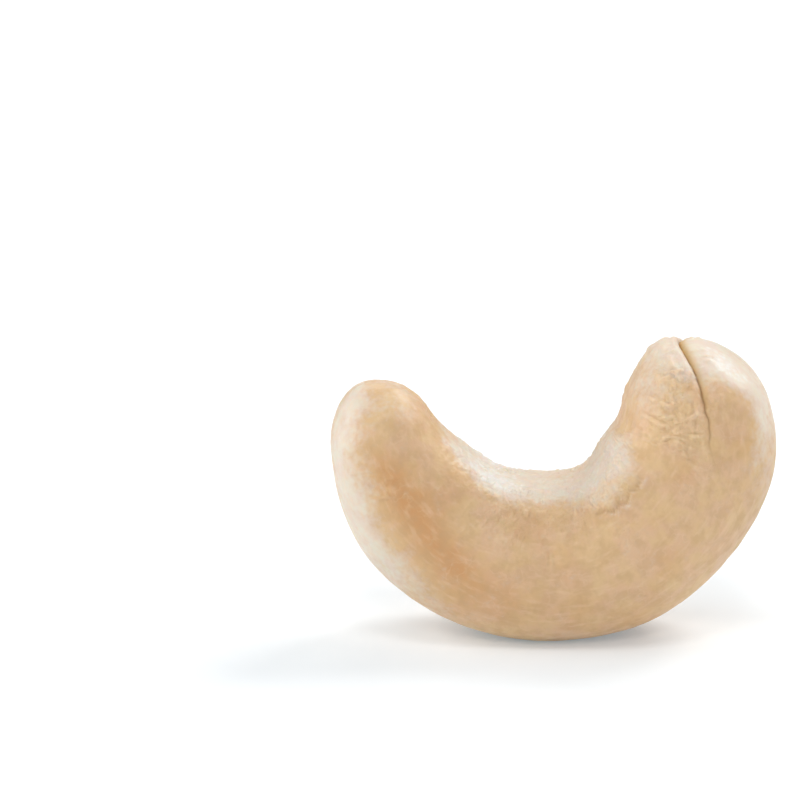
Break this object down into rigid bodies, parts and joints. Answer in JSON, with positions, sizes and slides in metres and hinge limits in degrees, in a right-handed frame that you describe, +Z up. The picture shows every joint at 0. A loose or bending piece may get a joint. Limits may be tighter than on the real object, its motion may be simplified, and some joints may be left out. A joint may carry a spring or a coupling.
{
  "type": "cashew nut",
  "caption": "Whole shelled cashew kernel, kidney shaped, with a cleft in its blunt tip, standing on the small flat spot of its rounded back.",
  "frame": {"origin": "middle of the flat spot on the kernel's rounded back, on the surface that it stands on", "axes": "+X towards the blunt, cleft arm, +Y through the kernel's thickness away from its front, +Z up, towards the hollow between the arms"},
  "size_m": [0.0279, 0.0116, 0.0188],
  "materials": {
    "kernel_skin": "pale tan, softly waxy and slightly translucent, with faint mottling and fine wrinkles"
  },
  "bodies": {
    "root": {"kernel": "kernel_skin"}
  },
  "joints": []
}
